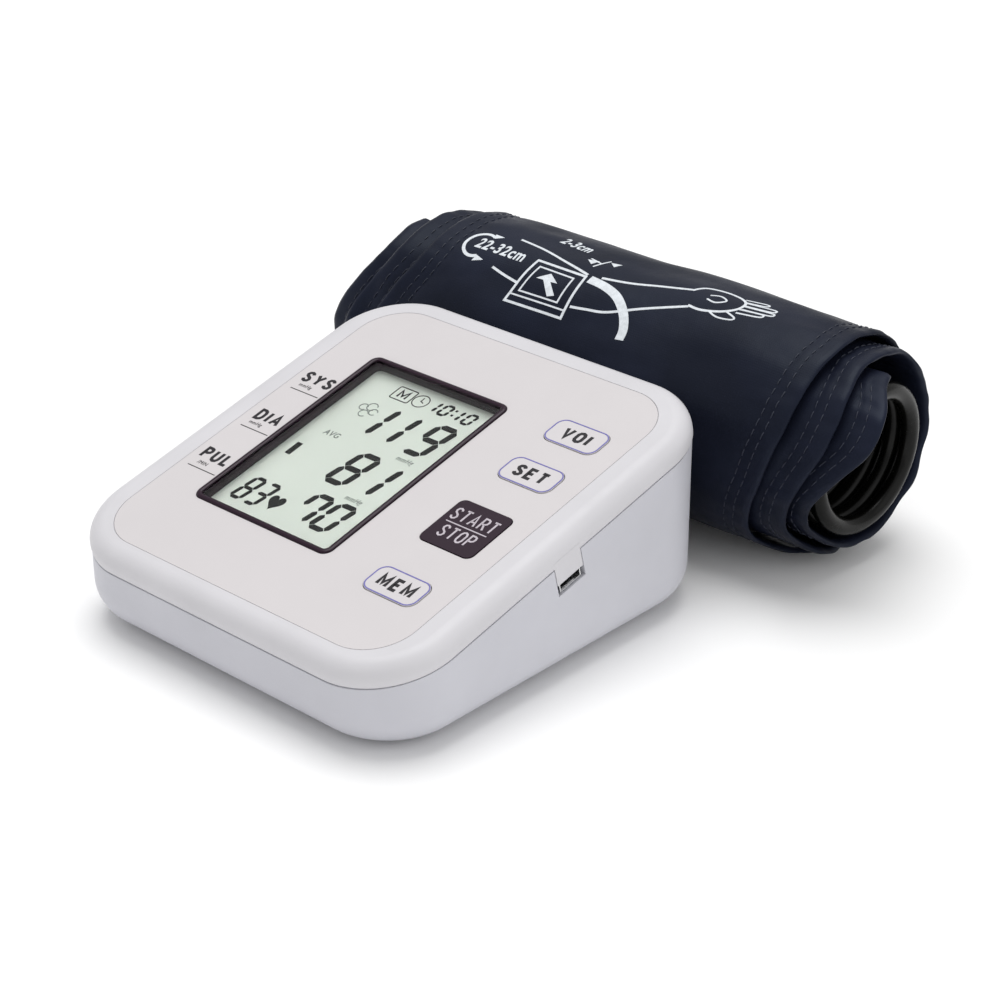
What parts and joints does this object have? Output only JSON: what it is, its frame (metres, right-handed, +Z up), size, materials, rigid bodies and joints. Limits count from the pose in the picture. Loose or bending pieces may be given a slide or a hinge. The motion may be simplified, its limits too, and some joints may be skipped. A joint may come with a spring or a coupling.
{
  "type": "upper arm blood pressure monitor",
  "caption": "Sloped case with a segment display and keys, battery bay, air pump and valve, and a rolled arm cuff with its air hose.",
  "frame": {"origin": "middle of the footprint of the case and the rolled cuff, on the table", "axes": "+X to the right when reading the display, +Y to the back, towards the cuff, +Z up"},
  "size_m": [0.162, 0.184, 0.0627],
  "materials": {
    "white_shell": "fine satin moulding texture",
    "white_lid": "fine satin moulding texture",
    "overlay_film": "satin printed film",
    "bezel_black": "gloss, very dark aubergine",
    "clear_window": "clear",
    "lcd_glass": "grey-green reflective liquid crystal cell",
    "white_plastic": "plain",
    "zebra_rubber": "striped elastomer",
    "circuit_board": "green solder mask",
    "chip_black": "moulded epoxy",
    "tinned_steel": "bright",
    "start_key_plastic": "dark aubergine satin",
    "pump_metal": "zinc plated",
    "dark_plastic": "plain",
    "cradle_rubber": "soft foam rubber",
    "silicone_tube": "translucent silicone",
    "wire_red": "insulated wire",
    "cell_jacket": "printed sleeve",
    "foot_rubber": "matt",
    "cuff_nylon": "navy coated nylon, satin",
    "bladder_rubber": "matt",
    "hook_tape": "hook tape",
    "loop_tape": "brushed loop tape",
    "hose_rubber": "smooth, soft gloss"
  },
  "bodies": {
    "case_and_cuff": {"lower_housing": "white_shell", "upper_housing": "white_lid", "face_overlay": "overlay_film", "display_frame": "bezel_black", "display_window": "clear_window", "lcd_panel": "lcd_glass", "lcd_holder": "white_plastic", "display_backlight": "white_plastic", "lcd_contact_strip": "zebra_rubber", "main_board": "circuit_board", "board_chips": "chip_black", "usb_socket": "tinned_steel", "switch_bodies": "tinned_steel", "pump_motor": "pump_metal", "pump_head": "dark_plastic", "pump_cradle": "cradle_rubber", "release_valve": "pump_metal", "pressure_sensor": "white_plastic", "air_tee": "white_plastic", "inner_air_tubes": "silicone_tube", "air_socket": "dark_plastic", "speaker": "dark_plastic", "hookup_wires": "wire_red", "battery_cells": "cell_jacket", "battery_springs": "tinned_steel", "battery_plates": "tinned_steel", "rubber_feet": "foot_rubber", "housing_screws": "tinned_steel", "board_screws": "tinned_steel", "cuff_sleeve": "cuff_nylon", "cuff_bladder": "bladder_rubber", "cuff_hook_patch": "hook_tape", "cuff_loop_patch": "loop_tape", "hose_port": "dark_plastic", "air_hose_coil": "hose_rubber", "air_hose_tail": "hose_rubber", "air_plug": "dark_plastic"},
    "memory_key_body": {"memory_key": "overlay_film", "memory_switch_plunger": "dark_plastic"},
    "start_stop_key_body": {"start_stop_key": "start_key_plastic", "start_stop_switch_plunger": "dark_plastic"},
    "set_key_body": {"set_key": "overlay_film", "set_switch_plunger": "dark_plastic"},
    "voice_key_body": {"voice_key": "overlay_film", "voice_switch_plunger": "dark_plastic"},
    "pump_shaft_body": {"pump_shaft": "tinned_steel"},
    "valve_plunger_body": {"valve_plunger": "tinned_steel"},
    "battery_door_body": {"battery_door": "white_shell"}
  },
  "joints": [
    {"name": "memory_key_press", "type": "slide", "parent": "case_and_cuff", "child": "memory_key_body", "axis": [0, 0.2436, -0.9699], "range_m": [0, 0.0005], "stiffness_N_per_m": 400, "springref_m": -0.0005},
    {"name": "start_stop_key_press", "type": "slide", "parent": "case_and_cuff", "child": "start_stop_key_body", "axis": [0, 0.2436, -0.9699], "range_m": [0, 0.0005], "stiffness_N_per_m": 400, "springref_m": -0.0005},
    {"name": "set_key_press", "type": "slide", "parent": "case_and_cuff", "child": "set_key_body", "axis": [0, 0.2436, -0.9699], "range_m": [0, 0.0005], "stiffness_N_per_m": 400, "springref_m": -0.0005},
    {"name": "voice_key_press", "type": "slide", "parent": "case_and_cuff", "child": "voice_key_body", "axis": [0, 0.2436, -0.9699], "range_m": [0, 0.0005], "stiffness_N_per_m": 400, "springref_m": -0.0005},
    {"name": "pump_shaft_spin", "type": "hinge", "parent": "case_and_cuff", "child": "pump_shaft_body", "pos_m": [0.034, -0.02634, 0.0134], "axis": [0, 1, 0], "continuous": true},
    {"name": "valve_plunger_slide", "type": "slide", "parent": "case_and_cuff", "child": "valve_plunger_body", "axis": [0, -1, 0], "range_m": [0, 0.001], "stiffness_N_per_m": 200, "springref_m": -0.0005},
    {"name": "battery_door_hinge", "type": "hinge", "parent": "case_and_cuff", "child": "battery_door_body", "pos_m": [-0.012, -0.04634, 0.0022], "axis": [-1, 0, 0], "range_deg": [0, 85]}
  ]
}
